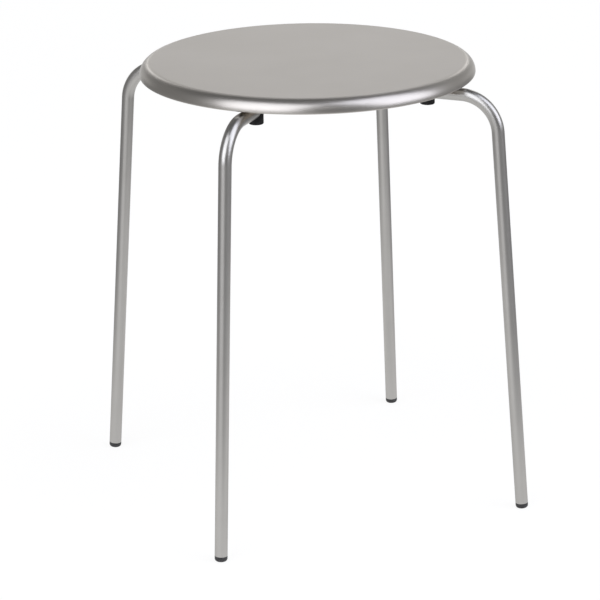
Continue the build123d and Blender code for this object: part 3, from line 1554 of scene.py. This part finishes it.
@dataclass
class CoreAndInserts:
    """The plywood core and its threaded inserts, which keep their CAD shapes."""

    core_finish: Finish = CORE_PLY
    insert_finish: Finish = INSERT_ZINC

    def dress(self) -> None:
        """Gives the CAD nodes their finishes."""
        self.paint("seat_core", self.core_finish)
        for corner in Corner:
            self.paint(f"threaded_inserts_{corner.label}", self.insert_finish)

    def paint(self, node: str, finish: Finish) -> None:
        """Puts a finish on a CAD node's material slots.

        Args:
            node: The CAD node.
            finish: Its finish.
        """
        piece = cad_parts[node]
        for slot in piece.material_slots:
            slot.material = finish.material()
        LOG.info("%s: CAD shape, finish %s", node, finish.name)


@dataclass(frozen=True)
class ViewPoint:
    """Where the camera stands and how it is aimed, with its heading measured from +Y."""

    place: Tuple[float, float, float] = (-0.9772, -2.4094, 1.0836)
    heading_degrees: float = -21.844
    pitch_degrees: float = 18.864
    roll_degrees: float = -0.783
    lens_mm: float = 160.0
    sensor_mm: float = 36.0

    def set_up(self) -> None:
        """Makes the camera and gives it to the scene."""
        data = bpy.data.cameras.new("view")
        data.lens = self.lens_mm
        data.sensor_width = self.sensor_mm
        data.sensor_fit = "HORIZONTAL"
        camera = bpy.data.objects.new("view", data)
        bpy.context.scene.collection.objects.link(camera)
        heading = Matrix.Rotation(math.radians(self.heading_degrees), 4, "Z")
        tilt = Matrix.Rotation(math.radians(90.0 - self.pitch_degrees), 4, "X")
        roll = Matrix.Rotation(math.radians(self.roll_degrees), 4, "Z")
        camera.matrix_world = Matrix.Translation(self.place) @ heading @ tilt @ roll
        bpy.context.scene.camera = camera


@dataclass(frozen=True)
class Panel:
    """A flat light that faces the stool, by its direction about Z and its height above the horizon."""

    name: str
    azimuth_degrees: float
    elevation_degrees: float
    distance: float
    width: float
    height: float
    level: float
    tint: Colour = (1.0, 1.0, 1.0)


@dataclass
class Studio:
    """White floor, grey room that is paler low behind the stool, and three soft lights round it.

    The room darkens upwards between two rises, each for a metre of distance along the line of sight.
    """

    aim: Tuple[float, float, float] = (0.0, 0.0, 0.4)
    floor_size: float = 24.0
    floor_finish: Finish = WHITE_FLOOR
    room_glow: float = 0.47
    room_sides: Tuple[Side, ...] = (
        Side(azimuth_degrees=133.0, half_width_degrees=38.0, level=0.31),
        Side(azimuth_degrees=266.0, half_width_degrees=20.0, level=0.2, top=0.42),
        Side(azimuth_degrees=68.0, half_width_degrees=45.0, level=0.85, top=0.2),
    )
    high_from: float = 0.48
    high_full: float = 0.85
    high_glow: float = 0.14
    fill_glow: float = 0.83
    softboxes: Tuple[Panel, ...] = (
        Panel(
            "left_softbox",
            azimuth_degrees=213.9,
            elevation_degrees=34.5,
            distance=4.0,
            width=3.9,
            height=5.1,
            level=1.9,
            tint=(0.91, 0.93, 1.0),
        ),
        Panel(
            "right_softbox",
            azimuth_degrees=319.0,
            elevation_degrees=39.5,
            distance=4.0,
            width=3.5,
            height=5.3,
            level=1.9,
            tint=(0.86, 0.885, 1.0),
        ),
        Panel(
            "back_softbox",
            azimuth_degrees=68.0,
            elevation_degrees=21.0,
            distance=4.0,
            width=2.9,
            height=1.3,
            level=1.45,
        ),
    )

    def set_up(self) -> None:
        """Makes the floor, the surroundings and the lights."""
        bpy.context.scene.view_settings.view_transform = "Standard"
        self.lay_floor()
        self.light_surroundings()
        for softbox in self.softboxes:
            self.hang(softbox)

    def lay_floor(self) -> None:
        """Lays the white floor."""
        half = self.floor_size / 2
        mesh = bpy.data.meshes.new("floor")
        corners = [(-half, -half, 0.0), (half, -half, 0.0), (half, half, 0.0), (-half, half, 0.0)]
        mesh.from_pydata(corners, [], [(0, 1, 2, 3)])
        mesh.materials.append(self.floor_finish.material())
        new_piece("floor", mesh)

    def light_surroundings(self) -> None:
        """Makes surroundings that are white to the camera, and to the metal a room that darkens upwards."""
        world = bpy.data.worlds.new("surroundings")
        bpy.context.scene.world = world
        world.use_nodes = True
        world.node_tree.nodes.clear()
        graph = NodeGraph(world.node_tree)
        way = graph.add("ShaderNodeTexCoord").outputs["Generated"]
        room = graph.sides(way, self.room_glow, self.room_sides)
        high = graph.spread(graph.parts(way)[2], self.high_from, self.high_full, 0.0, 1.0)
        studio = graph.level(high, room, self.high_glow)
        path = graph.add("ShaderNodeLightPath").outputs
        soft = graph.math("MAXIMUM", path["Is Glossy Ray"], path["Is Transmission Ray"])
        fill = graph.add("ShaderNodeBackground", {"Strength": self.fill_glow}).outputs[0]
        seen = graph.add("ShaderNodeBackground", {"Strength": studio}).outputs[0]
        white = graph.add("ShaderNodeBackground", {"Strength": 1.0}).outputs[0]
        lit = graph.add("ShaderNodeMixShader", {0: soft, 1: fill, 2: seen}).outputs[0]
        whole = graph.add("ShaderNodeMixShader", {0: path["Is Camera Ray"], 1: lit, 2: white}).outputs[0]
        graph.add("ShaderNodeOutputWorld", {"Surface": whole})

    def hang(self, panel: Panel) -> None:
        """Hangs a softbox that faces the stool.

        Args:
            panel: The softbox. Its level is how bright its face looks, where 1 is white.
        """
        light = bpy.data.lights.new(panel.name, "AREA")
        light.shape = "RECTANGLE"
        light.size = panel.width
        light.size_y = panel.height
        light.energy = panel.level * math.pi * panel.width * panel.height
        light.color = panel.tint
        lamp = bpy.data.objects.new(panel.name, light)
        bpy.context.scene.collection.objects.link(lamp)
        lamp.matrix_world = self.facing(panel)
        lamp.visible_camera = False

    def facing(self, panel: Panel) -> Matrix:
        """Works out a panel's place.

        Args:
            panel: The panel.

        Returns:
            The place, with the panel's -Z towards the stool.
        """
        swing = Matrix.Rotation(math.radians(panel.azimuth_degrees), 3, "Z")
        rise = Matrix.Rotation(math.radians(-panel.elevation_degrees), 3, "Y")
        out = swing @ rise @ Vector((1.0, 0.0, 0.0))
        turn = out.to_track_quat("Z", "Y").to_matrix().to_4x4()
        return Matrix.Translation(Vector(self.aim) + out * panel.distance) @ turn


def main() -> None:
    """Builds and dresses the stool, then sets up the studio round it."""
    logging.basicConfig(level=logging.INFO, format="%(message)s")
    workshop = Workshop()
    route = TubeRoute()
    pan = SeatPan(workshop)
    pieces = [pan.dress(pan.build())]
    for maker in (Leg, FootPlug, TubeEndPlug, StackingBumper, LegScrews, SaddleWashers):
        corner_piece = maker(workshop, route)
        pieces += corner_piece.dress(corner_piece.build())
    LOG.info("%d new pieces in all", len(pieces))
    CoreAndInserts().dress()
    ViewPoint().set_up()
    Studio().set_up()


if __name__ == "__main__":
    main()
